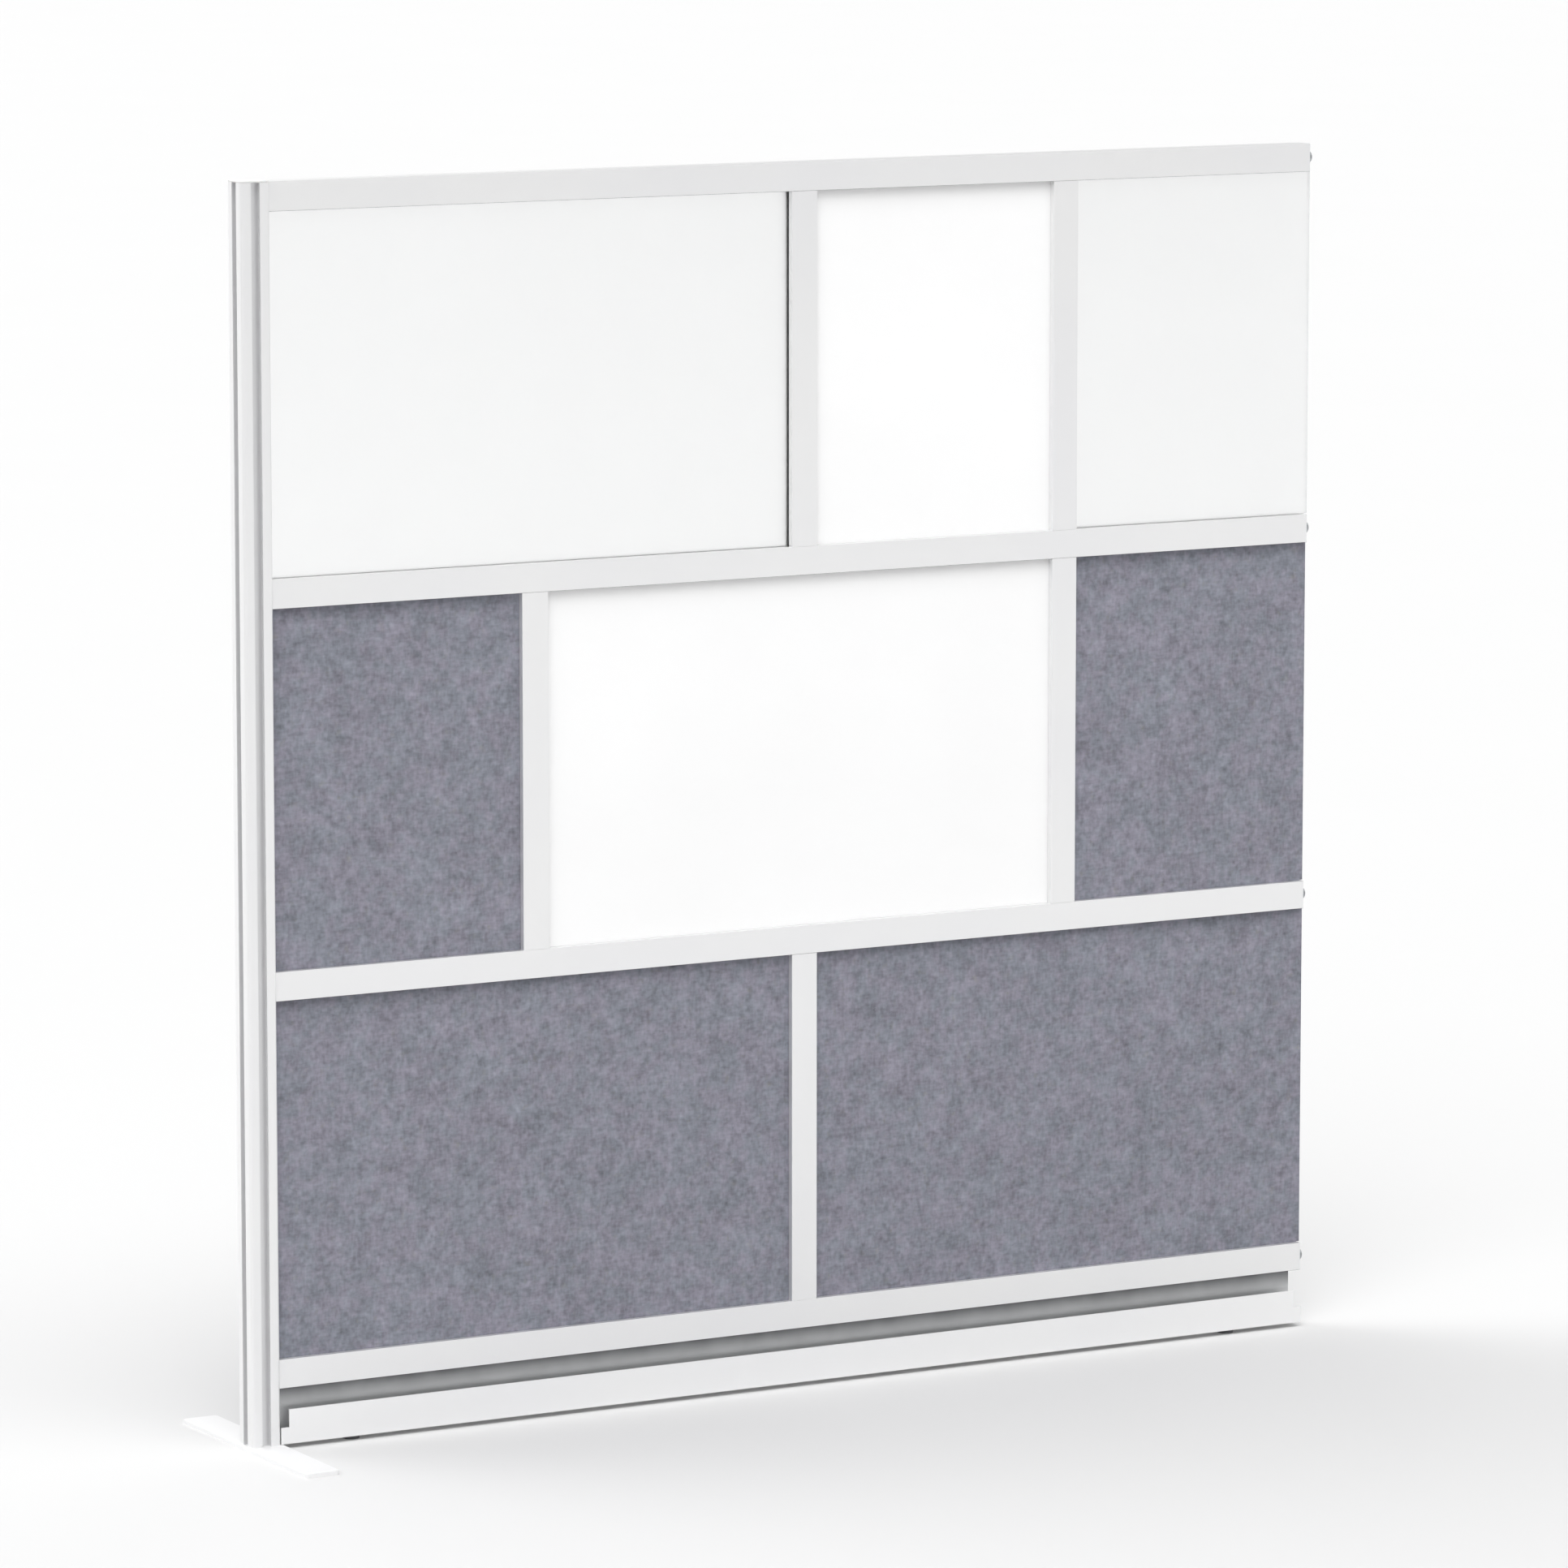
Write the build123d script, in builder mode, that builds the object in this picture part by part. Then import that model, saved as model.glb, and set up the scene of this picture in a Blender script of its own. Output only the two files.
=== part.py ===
"""Add-on wall of a modular room divider: a slotted post on a foot plate, and a framed grid of infills.

The origin is on the floor under the post's axis. +X runs along the wall, away from the post,
+Y points to the back of the wall and +Z points up. All sizes are in millimetres.
"""
from build123d import *
import os

os.makedirs("parts", exist_ok=True)

# Foot plate under the post
foot_length = 400.0
foot_width = 53.2
foot_thickness = 6.35
foot_corner_radius = 5.0
foot_edge_radius = 0.8

# Post extrusion, with a T-slot in each face
post_size = 44.45
post_corner_radius = 4.5
slot_lip = 3.2
core_wall = 1.8
port_diameter = 7.0

# Cap that closes the top of the post
cap_thickness = 2.6
cap_reveal = 0.8
cap_rise = 2.0
cap_edge_radius = 0.8
peg_length = 14.0
peg_clearance = 0.1

# Studs that hook a wall into a post's slot
head_diameter = 17.0
head_thickness = 5.7
head_chamfer = 1.2
neck_length = 3.6
thread_diameter = 8.0
thread_length = 24.0
socket_flats = 6.0
socket_depth = 2.6
head_side_clearance = 0.6
head_play = 0.8
neck_side_clearance = 0.5

# Frame extrusion, the same for rails and mullions
frame_face = 41.3
frame_depth = 32.0
frame_corner_radius = 0.8
outer_wall = 1.8
inner_wall = 1.5
groove_depth = 12.0

# Grid of openings, whose widths differ a little from the post outwards
first_opening = 390.1
middle_opening = 394.1
last_opening = 399.6
opening_height = 509.0

# Infill of each opening: the rows from the bottom up, the columns from the post outwards
layout = (
    (
        "felt_panel_bottom_left",
        "felt_panel_bottom_left",
        "felt_panel_bottom_right",
        "felt_panel_bottom_right",
    ),
    ("felt_panel_middle_left", "wide_whiteboard", "wide_whiteboard", "felt_panel_middle_right"),
    ("frosted_panel_left", "frosted_panel_left", "upper_whiteboard", "frosted_panel_right"),
)

# Rails from the bottom up, and the mullions of each row, from the post outwards
rail_names = ("bottom_rail", "lower_rail", "upper_rail", "top_rail")
mullion_names = (
    ("bottom_mullion",),
    ("middle_left_mullion", "middle_right_mullion"),
    ("top_left_mullion", "top_right_mullion"),
)

# Infills
infill_thickness = 12.0
infill_clearance = 0.4
side_insertion = 10.0
top_insertion = 9.0
post_end_gap = 0.4
skin_thickness = 0.6

# Tongues of the felt panels and frosted sheets, which stand out of the frame and enter a post's slot
felt_tongue = 4.6
sheet_tongue = 6.8
tongue_end_clearance = 0.5
tongue_side_clearance = 0.75

# Gaskets round the frosted sheets
gasket_wall = 1.0
gasket_leg = 9.0
gasket_gap = 0.5

# Inserts in the rail ends
insert_length = 30.0
fit_clearance = 0.15

# Joint blocks and the small screws of the frame and the base
spigot_length = 22.0
screw_diameter = 4.0
screw_head_diameter = 7.6
screw_head_height = 2.4
joint_screw_length = 18.0
base_screw_length = 8.0
hole_clearance = 0.2

# Foot screws, countersunk from below
foot_screw_diameter = 6.8
foot_screw_head_diameter = 13.6
foot_screw_length = 32.0
countersink_angle = 90.0

# Base: trough, web and the slot for cables above the trough
trough_height = 50.15
trough_wall = 2.0
trough_bend_radius = 2.6
post_side_gap = 0.4
cable_gap = 29.3
notch_length = 12.6
notch_height = 25.5
trough_setback = 1.9
web_wall = 1.5
web_side_clearance = 0.2
web_top_gap = 0.5
base_screw_count = 4
base_screw_inset = 210.0

# Levelling glides under the trough
glide_inset = 120.0
glide_travel = 12.0
pad_diameter = 24.0
pad_thickness = 4.0
pad_socket_depth = 2.5
pad_chamfer = 0.8
pad_gap = 0.45
flange_flats = 11.0
stem_diameter = 6.0
stem_clearance = 0.35
stem_hole_clearance = 1.0
stem_headroom = 2.5
nut_length = 20.0
nut_height = 12.0

# How far a cut runs past the face it opens
overrun = 2.0

# Sizes and counts that follow from the ones above
row_count = len(layout)
column_count = len(layout[0])
post_half = post_size / 2
slot_opening = infill_thickness + 2 * tongue_side_clearance
neck_diameter = slot_opening - 2 * neck_side_clearance
cavity_width = head_diameter + 2 * head_side_clearance
cavity_depth = head_thickness + head_play
core_size = 2 * (post_half - slot_lip - cavity_depth - core_wall)
port_spacing = post_half + cavity_width / 2
groove_width = infill_thickness + 2 * infill_clearance
chamber_height = frame_face - 2 * (groove_depth + inner_wall)
chamber_depth = frame_depth - 2 * outer_wall
pocket_width = (frame_depth - groove_width) / 2 - outer_wall - inner_wall
pocket_height = groove_depth - outer_wall
row_pitch = opening_height + frame_face
column_pitch = middle_opening + frame_face
wall_start = post_half
wall_length = first_opening + (column_count - 2) * column_pitch + frame_face + last_opening
wall_end = wall_start + wall_length
trough_end = wall_end - trough_setback
trough_top = foot_thickness + trough_height
base_height = trough_top + cable_gap
wall_top = base_height + row_count * row_pitch + frame_face
post_top = wall_top + cap_rise - cap_thickness
web_thickness = groove_width - 2 * web_side_clearance
web_bottom = foot_thickness + trough_wall
web_top = base_height + groove_depth - web_top_gap
web_start = post_half + post_side_gap
web_end = trough_end - notch_length
web_chamber = nut_height + glide_travel + stem_headroom
stem_top = web_bottom + web_wall + nut_height + glide_travel
head_depth = (foot_screw_head_diameter - foot_screw_diameter) / 2


def save(builder, node):
    """Label a finished piece and write it."""
    builder.part.label = node
    export_step(builder.part, f"parts/{node}.step")


def rail_bottom(index):
    """Height of the underside of a rail, counted from the bottom."""
    return base_height + index * row_pitch


def rail_middle(index):
    """Height of the middle of a rail."""
    return rail_bottom(index) + frame_face / 2


def column_start(column):
    """Left side of a column of openings."""
    return wall_start if column == 0 else wall_start + first_opening + frame_face + (column - 1) * column_pitch


def mullion_middles(row):
    """Middles of the mullions of a row, which stand where one infill ends and the next starts."""
    cells = layout[row]
    starts = [column for column in range(1, column_count) if cells[column] != cells[column - 1]]
    return [column_start(column) - frame_face / 2 for column in starts]


def mullions():
    """Name, row and middle of every mullion."""
    return [
        (node, row, middle)
        for row, nodes in enumerate(mullion_names)
        for node, middle in zip(nodes, mullion_middles(row))
    ]


def infills(kind):
    """Name, row, first column and number of columns of every infill of a kind."""
    return [
        (node, row, cells.index(node), cells.count(node))
        for row, cells in enumerate(layout)
        for node in dict.fromkeys(cells)
        if kind in node
    ]


def across(x, z, side=1):
    """Plane across the wall at x and z, facing along the wall; its first axis is the depth."""
    return Plane(origin=(x, 0, z), x_dir=(0, 1, 0), z_dir=(side, 0, 0))


def base_screw_places():
    """Places of the base screws along the wall."""
    span = trough_end - wall_start - 2 * base_screw_inset
    return [wall_start + base_screw_inset + span * n / (base_screw_count - 1) for n in range(base_screw_count)]


def glide_places():
    """Places of the two glides along the wall."""
    return {"left": wall_start + glide_inset, "right": trough_end - glide_inset}


def draw_frame_section(groove_sides):
    """Draw the frame extrusion: depth by face, with grooves on the sides named and chambers elsewhere."""
    RectangleRounded(frame_depth, frame_face, frame_corner_radius)
    Rectangle(chamber_depth, chamber_height, mode=Mode.SUBTRACT)
    for side in (-1, 1):
        if side in groove_sides:
            with Locations((0, side * (frame_face + overrun - groove_depth) / 2)):
                Rectangle(groove_width, groove_depth + overrun, mode=Mode.SUBTRACT)
            pocket_middle = side * (frame_face / 2 - outer_wall - pocket_height / 2)
            pocket_offset = (groove_width + pocket_width) / 2 + inner_wall
            with Locations((-pocket_offset, pocket_middle), (pocket_offset, pocket_middle)):
                Rectangle(pocket_width, pocket_height, mode=Mode.SUBTRACT)
        else:
            with Locations((0, side * (frame_face / 2 - outer_wall - pocket_height / 2))):
                Rectangle(chamber_depth, pocket_height, mode=Mode.SUBTRACT)


def drill_floor(low, places, diameter):
    """Drill a groove floor from its lower side at the places along the wall."""
    with BuildSketch(Plane.XY.offset(low)) as holes:
        with Locations(*[(x, 0) for x in places]):
            Circle(diameter / 2)
    extrude(holes.sketch, amount=inner_wall, both=True, mode=Mode.SUBTRACT)


# Foot plate
with BuildPart() as foot_plate:
    with BuildSketch(Plane.XY):
        RectangleRounded(foot_width, foot_length, foot_corner_radius)
    extrude(amount=foot_thickness)
    fillet(foot_plate.faces().sort_by(Axis.Z)[-1].edges(), radius=foot_edge_radius)
    with Locations(Plane.XY.rotated((180, 0, 0))):
        with GridLocations(port_spacing, port_spacing, 2, 2):
            CounterSinkHole(
                radius=foot_screw_diameter / 2 + hole_clearance,
                counter_sink_radius=foot_screw_head_diameter / 2 + hole_clearance,
                depth=foot_thickness,
                counter_sink_angle=countersink_angle,
            )
save(foot_plate, "foot_plate")

# Foot screws, with hexagon sockets, into the ports in the post's corners
with BuildPart() as foot_screws:
    with GridLocations(port_spacing, port_spacing, 2, 2):
        Cylinder(foot_screw_diameter / 2, foot_screw_length, align=(Align.CENTER, Align.CENTER, Align.MIN))
        Cone(
            foot_screw_head_diameter / 2,
            foot_screw_diameter / 2,
            head_depth,
            align=(Align.CENTER, Align.CENTER, Align.MIN),
        )
    with BuildSketch(Plane.XY):
        with GridLocations(port_spacing, port_spacing, 2, 2):
            RegularPolygon(foot_screw_diameter / 2, 6, major_radius=False)
    extrude(amount=head_depth / 2, mode=Mode.SUBTRACT)
save(foot_screws, "foot_screws")

# Post
with BuildPart() as post:
    with BuildSketch(Plane.XY.offset(foot_thickness)):
        RectangleRounded(post_size, post_size, post_corner_radius)
        Rectangle(core_size, core_size, mode=Mode.SUBTRACT)
        with PolarLocations(post_half - slot_lip / 2, 4):
            Rectangle(slot_lip + overrun, slot_opening, mode=Mode.SUBTRACT)
        with PolarLocations(post_half - slot_lip - cavity_depth / 2, 4):
            Rectangle(cavity_depth, cavity_width, mode=Mode.SUBTRACT)
        with GridLocations(port_spacing, port_spacing, 2, 2):
            Circle(port_diameter / 2, mode=Mode.SUBTRACT)
    extrude(amount=post_top - foot_thickness)
save(post, "post")

# Top cap: a plate over a step set in all round, with a peg for each port
with BuildPart() as post_top_cap:
    with BuildSketch(Plane.XY.offset(post_top + cap_reveal)):
        RectangleRounded(post_size, post_size, post_corner_radius)
    extrude(amount=cap_thickness - cap_reveal)
    fillet(post_top_cap.faces().sort_by(Axis.Z)[-1].edges(), radius=cap_edge_radius)
    with BuildSketch(Plane.XY.offset(post_top)):
        step_size = post_size - 2 * cap_reveal
        RectangleRounded(step_size, step_size, post_corner_radius - cap_reveal)
    extrude(amount=cap_reveal)
    with BuildSketch(Plane.XY.offset(post_top)):
        with GridLocations(port_spacing, port_spacing, 2, 2):
            Circle(port_diameter / 2 - peg_clearance)
    extrude(amount=-peg_length)
save(post_top_cap, "post_top_cap")

# Rails: the top one is closed above, and the bottom one holds the web in its lower groove
for index, node in enumerate(rail_names):
    is_top = index == row_count
    with BuildPart() as rail:
        with BuildSketch(across(wall_start, rail_middle(index))):
            draw_frame_section((-1,) if is_top else (-1, 1))
        extrude(amount=wall_length)
        low_floor = rail_bottom(index) + groove_depth
        high_floor = rail_bottom(index) + frame_face - groove_depth - inner_wall
        below = base_screw_places() if index == 0 else mullion_middles(index - 1)
        drill_floor(low_floor, below, screw_diameter + 2 * hole_clearance)
        if not is_top:
            drill_floor(high_floor, mullion_middles(index), screw_diameter + 2 * hole_clearance)
    save(rail, node)

# Mullions, cut square between two rails
for node, row, middle in mullions():
    with BuildPart() as mullion:
        mullion_plane = Plane(
            origin=(middle, 0, rail_bottom(row) + frame_face),
            x_dir=(0, 1, 0),
            z_dir=(0, 0, 1),
        )
        with BuildSketch(mullion_plane):
            draw_frame_section((-1, 1))
        extrude(amount=opening_height)
    save(mullion, node)

# Joint blocks: a tongue in the rail's groove and a spigot in the mullion's chamber
block_length = chamber_height - 2 * fit_clearance
tongue_depth = groove_width - 2 * fit_clearance
spigot_depth = chamber_depth - 2 * fit_clearance
with BuildPart() as joint_blocks:
    for node, row, middle in mullions():
        for upwards, height in ((1, rail_bottom(row) + frame_face), (-1, rail_bottom(row + 1))):
            with BuildSketch(Plane.XY.offset(height)):
                with Locations((middle, 0)):
                    Rectangle(block_length, tongue_depth)
                    Circle(screw_diameter / 2 + hole_clearance, mode=Mode.SUBTRACT)
            extrude(amount=-upwards * groove_depth)
            with BuildSketch(Plane.XY.offset(height)):
                with Locations((middle, 0)):
                    Rectangle(block_length, spigot_depth)
                    Circle(screw_diameter / 2 + hole_clearance, mode=Mode.SUBTRACT)
            extrude(amount=upwards * spigot_length)
save(joint_blocks, "joint_blocks")

# Joint screws, from the rail's chamber through the groove floor into each block
with BuildPart() as joint_screws:
    for node, row, middle in mullions():
        for upwards, height in ((1, rail_bottom(row) + frame_face), (-1, rail_bottom(row + 1))):
            seat = height - upwards * (groove_depth + inner_wall)
            with BuildSketch(Plane.XY.offset(seat)):
                with Locations((middle, 0)):
                    Circle(screw_diameter / 2)
            extrude(amount=upwards * joint_screw_length)
            with BuildSketch(Plane.XY.offset(seat)):
                with Locations((middle, 0)):
                    Circle(screw_head_diameter / 2)
            extrude(amount=-upwards * screw_head_height)
save(joint_screws, "joint_screws")

# Inserts and studs in both ends of every rail
for node_end, side, end in (("left", -1, wall_start), ("right", 1, wall_end)):
    with BuildPart() as end_inserts:
        for index in range(row_count + 1):
            with BuildSketch(across(end, rail_middle(index), side)):
                Rectangle(chamber_depth - 2 * fit_clearance, chamber_height - 2 * fit_clearance)
                Circle(thread_diameter / 2 + hole_clearance, mode=Mode.SUBTRACT)
            extrude(amount=-insert_length)
    save(end_inserts, f"{node_end}_end_inserts")

    with BuildPart() as studs:
        for index in range(row_count + 1):
            with BuildSketch(across(end, rail_middle(index), side)):
                Circle(thread_diameter / 2)
            extrude(amount=-thread_length)
            with BuildSketch(across(end, rail_middle(index), side)):
                Circle(neck_diameter / 2)
            extrude(amount=neck_length)
            with BuildSketch(across(end + side * neck_length, rail_middle(index), side)):
                Circle(head_diameter / 2)
            extrude(amount=head_thickness - head_chamfer)
            rim = end + side * (neck_length + head_thickness - head_chamfer)
            with BuildSketch(across(rim, rail_middle(index), side)):
                Circle(head_diameter / 2)
            with BuildSketch(across(rim + side * head_chamfer, rail_middle(index), side)):
                Circle(head_diameter / 2 - head_chamfer)
            loft()
            tip = end + side * (neck_length + head_thickness)
            with BuildSketch(across(tip, rail_middle(index), side)):
                RegularPolygon(socket_flats / 2, 6, major_radius=False)
            extrude(amount=-socket_depth, mode=Mode.SUBTRACT)
    save(studs, f"{node_end}_studs")


def infill_span(first, count):
    """Left and right edges of an infill, with its edges inside the mullions' grooves."""
    left = column_start(first) - side_insertion if first > 0 else wall_start + post_end_gap
    last = first + count
    right = column_start(last) - frame_face + side_insertion if last < column_count else wall_end
    return left, right


def infill_rise(row):
    """Lower and upper edges of an infill, seated on the lower groove's floor."""
    low = rail_bottom(row) + frame_face - groove_depth
    high = rail_bottom(row + 1) + top_insertion
    return low, high


def draw_upright(left, right, low, high):
    """Draw a rectangle on a plane that faces the front of the wall."""
    with Locations(((left + right) / 2, (low + high) / 2)):
        Rectangle(right - left, high - low)


def draw_tongues(row, first, count, tongue):
    """Draw the tongues of an infill at the ends of the wall, as high as the opening."""
    left, right = infill_span(first, count)
    low = rail_bottom(row) + frame_face + tongue_end_clearance
    high = rail_bottom(row + 1) - tongue_end_clearance
    if first == 0:
        draw_upright(wall_start - tongue, left, low, high)
    if first + count == column_count:
        draw_upright(right, wall_end + tongue, low, high)


# Felt panels
for node, row, first, count in infills("felt_panel"):
    with BuildPart() as felt_panel:
        with BuildSketch(Plane.XZ):
            draw_upright(*infill_span(first, count), *infill_rise(row))
            draw_tongues(row, first, count, felt_tongue)
        extrude(amount=infill_thickness / 2, both=True)
    save(felt_panel, node)

# Whiteboards: a core between two steel skins
for node, row, first, count in infills("whiteboard"):
    core_thickness = infill_thickness - 2 * skin_thickness
    with BuildPart() as whiteboard_core:
        with BuildSketch(Plane.XZ):
            draw_upright(*infill_span(first, count), *infill_rise(row))
        extrude(amount=core_thickness / 2, both=True)
    save(whiteboard_core, f"{node}_core")

    with BuildPart() as whiteboard_skins:
        for side in (-1, 1):
            with BuildSketch(Plane.XZ.offset(side * core_thickness / 2)):
                draw_upright(*infill_span(first, count), *infill_rise(row))
            extrude(amount=side * skin_thickness)
    save(whiteboard_skins, f"{node}_skins")

# Frosted sheets, thinner than the other infills by the gaskets round them
for node, row, first, count in infills("frosted_panel"):
    left, right = infill_span(first, count)
    low, high = infill_rise(row)
    with BuildPart() as frosted_panel:
        with BuildSketch(Plane.XZ):
            draw_upright(left, right, low + gasket_wall, high)
            draw_tongues(row, first, count, sheet_tongue)
        extrude(amount=infill_thickness / 2 - gasket_wall, both=True)
    save(frosted_panel, node)

    gasket_low = rail_bottom(row) + frame_face + gasket_gap
    gasket_high = rail_bottom(row + 1) - gasket_gap
    with BuildPart() as frosted_gasket:
        with BuildSketch(Plane.XZ):
            draw_upright(left, right, low, low + gasket_wall + gasket_leg)
            draw_upright(left, right, high - gasket_leg + gasket_wall, high + gasket_wall)
            if first > 0:
                draw_upright(left - gasket_wall, left + gasket_leg, gasket_low, gasket_high)
            if first + count < column_count:
                draw_upright(right - gasket_leg, right + gasket_wall, gasket_low, gasket_high)
        extrude(amount=infill_thickness / 2, both=True)
        with BuildSketch(Plane.XZ):
            draw_upright(left, right, low + gasket_wall, high)
        extrude(amount=infill_thickness / 2 - gasket_wall, both=True, mode=Mode.SUBTRACT)
    save(frosted_gasket, f"{node}_gaskets")

# Web under the bottom rail: a box extrusion in two chambers
with BuildPart() as base_web:
    web_height = web_top - web_bottom
    upper_chamber = web_height - web_chamber - 3 * web_wall
    with BuildSketch(across(web_start, web_bottom)):
        with Locations((0, web_height / 2)):
            Rectangle(web_thickness, web_height)
        with Locations((0, web_wall + web_chamber / 2)):
            Rectangle(web_thickness - 2 * web_wall, web_chamber, mode=Mode.SUBTRACT)
        with Locations((0, web_height - web_wall - upper_chamber / 2)):
            Rectangle(web_thickness - 2 * web_wall, upper_chamber, mode=Mode.SUBTRACT)
    extrude(amount=web_end - web_start)
    with BuildSketch(Plane.XY.offset(web_bottom)):
        with Locations(*[(x, 0) for x in base_screw_places()]):
            Circle(screw_diameter / 2 + hole_clearance)
        with Locations(*[(x, 0) for x in glide_places().values()]):
            Circle(stem_diameter / 2 + stem_hole_clearance)
    extrude(amount=web_wall, mode=Mode.SUBTRACT)
    with BuildSketch(Plane.XY.offset(web_top)):
        with Locations(*[(x, 0) for x in base_screw_places()]):
            Circle(screw_diameter / 2 + hole_clearance)
    extrude(amount=-web_wall, mode=Mode.SUBTRACT)
save(base_web, "base_web")

# Trough: a folded channel, open above, with both ends of its walls notched
with BuildPart() as base_trough:
    with BuildSketch(across(web_start, foot_thickness)):
        with Locations((0, trough_height / 2)):
            Rectangle(post_size, trough_height)
    extrude(amount=trough_end - web_start)
    with BuildSketch(across(web_start, foot_thickness)):
        with Locations((0, (trough_height + trough_wall) / 2)):
            Rectangle(post_size - 2 * trough_wall, trough_height - trough_wall)
    extrude(amount=trough_end - web_start, mode=Mode.SUBTRACT)
    bends = base_trough.edges().filter_by(Axis.X).group_by(Axis.Z)[0]
    fillet(bends, radius=trough_bend_radius)
    for notch_start, notch_end in ((web_start, web_start + notch_length), (web_end, trough_end)):
        with BuildSketch(Plane.XY.offset(trough_top - notch_height)):
            with Locations(((notch_start + notch_end) / 2, 0)):
                Rectangle(notch_end - notch_start, post_size)
        extrude(amount=notch_height, mode=Mode.SUBTRACT)
    with BuildSketch(Plane.XY.offset(foot_thickness)):
        with Locations(*[(x, 0) for x in base_screw_places()]):
            Circle(screw_diameter / 2 + hole_clearance)
        with Locations(*[(x, 0) for x in glide_places().values()]):
            Circle(stem_diameter / 2 + stem_hole_clearance)
    extrude(amount=trough_wall, mode=Mode.SUBTRACT)
save(base_trough, "base_trough")

# Base screws: the upper ones go down into the web, the lower ones up through the trough
web_seat = base_height + groove_depth + inner_wall
for node, seat, upwards in (("web_screws", web_seat, -1), ("trough_screws", foot_thickness, 1)):
    with BuildPart() as base_screws:
        with BuildSketch(Plane.XY.offset(seat)):
            with Locations(*[(x, 0) for x in base_screw_places()]):
                Circle(screw_diameter / 2)
        extrude(amount=upwards * base_screw_length)
        with BuildSketch(Plane.XY.offset(seat)):
            with Locations(*[(x, 0) for x in base_screw_places()]):
                Circle(screw_head_diameter / 2)
        extrude(amount=-upwards * screw_head_height)
    save(base_screws, node)

# Nut blocks for the glides, on the floor of the web's lower chamber
with BuildPart() as glide_nuts:
    with BuildSketch(Plane.XY.offset(web_bottom + web_wall)):
        with Locations(*[(x, 0) for x in glide_places().values()]):
            Rectangle(nut_length, web_thickness - 2 * web_wall - 2 * fit_clearance)
            Circle(stem_diameter / 2 + stem_clearance, mode=Mode.SUBTRACT)
    extrude(amount=nut_height)
save(glide_nuts, "glide_nuts")

# Glides: a nylon foot and the levelling screw that stands in it
for node_end, place in glide_places().items():
    with BuildPart() as glide_foot:
        with BuildSketch(Plane.XY):
            with Locations((place, 0)):
                Circle(pad_diameter / 2)
        extrude(amount=pad_thickness)
        chamfer(glide_foot.faces().sort_by(Axis.Z)[-1].edges(), length=pad_chamfer)
        with BuildSketch(Plane.XY.offset(pad_thickness)):
            with Locations((place, 0)):
                Circle(stem_diameter / 2)
        extrude(amount=-pad_socket_depth, mode=Mode.SUBTRACT)
    save(glide_foot, f"{node_end}_glide_foot")

    with BuildPart() as glide_screw:
        with BuildSketch(Plane.XY.offset(pad_thickness)):
            with Locations((place, 0)):
                RegularPolygon(flange_flats / 2, 6, major_radius=False)
        extrude(amount=foot_thickness - pad_thickness - pad_gap)
        with BuildSketch(Plane.XY.offset(pad_thickness - pad_socket_depth)):
            with Locations((place, 0)):
                Circle(stem_diameter / 2)
        extrude(amount=stem_top - pad_thickness + pad_socket_depth)
    save(glide_screw, f"{node_end}_glide_screw")
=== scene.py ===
"""Looks of the modular room divider: finishes, felt panels, threaded glides, floor, light and camera.

Lengths are metres, unless a name ends in mm. +X runs along the wall away from the post, +Y points
to the back of the wall and +Z points up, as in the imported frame.
"""
import logging
import math
from dataclasses import dataclass
from enum import Enum
from itertools import chain, product

import bpy
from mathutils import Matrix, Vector, noise


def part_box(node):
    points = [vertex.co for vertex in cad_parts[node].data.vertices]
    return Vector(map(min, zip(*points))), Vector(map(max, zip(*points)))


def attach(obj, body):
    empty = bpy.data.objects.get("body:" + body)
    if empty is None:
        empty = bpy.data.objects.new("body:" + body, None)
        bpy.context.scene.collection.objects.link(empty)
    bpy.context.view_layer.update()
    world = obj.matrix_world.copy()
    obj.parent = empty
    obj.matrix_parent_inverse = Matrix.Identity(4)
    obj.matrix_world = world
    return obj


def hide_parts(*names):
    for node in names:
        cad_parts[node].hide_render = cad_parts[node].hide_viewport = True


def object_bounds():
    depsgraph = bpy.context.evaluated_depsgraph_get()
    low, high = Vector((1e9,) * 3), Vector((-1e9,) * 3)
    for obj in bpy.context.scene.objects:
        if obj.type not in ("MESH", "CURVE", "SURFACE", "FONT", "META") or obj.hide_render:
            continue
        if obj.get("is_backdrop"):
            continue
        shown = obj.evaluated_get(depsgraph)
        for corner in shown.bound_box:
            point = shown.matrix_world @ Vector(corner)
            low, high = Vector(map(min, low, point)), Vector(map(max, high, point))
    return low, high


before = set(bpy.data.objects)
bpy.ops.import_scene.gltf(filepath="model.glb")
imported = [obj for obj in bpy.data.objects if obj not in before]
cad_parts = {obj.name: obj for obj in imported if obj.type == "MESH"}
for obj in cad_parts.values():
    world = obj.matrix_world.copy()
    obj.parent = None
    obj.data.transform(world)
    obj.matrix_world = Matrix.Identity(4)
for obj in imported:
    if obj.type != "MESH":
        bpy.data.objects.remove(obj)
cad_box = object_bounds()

log = logging.getLogger("divider")
MM = 0.001
# Noise keeps near the middle of its range, so a pattern goes from none to full within a band about a half.
BAND = {"From Min": 0.3, "From Max": 0.7}
NARROW_BAND = {"From Min": 0.35, "From Max": 0.65}


class Side(Enum):
    """Face of the wall, as the sign of its outward direction along Y."""

    FRONT = -1
    BACK = 1


class Run(Enum):
    """Direction that a bar or a fibre lies in, as its angle in the wall's plane."""

    LEVEL = 0.0
    UPRIGHT = math.pi / 2


# A place or three sizes, and a grid point on one side of a board.
Triple = tuple[float, float, float]
Corner = tuple[int, int, Side]


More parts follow.
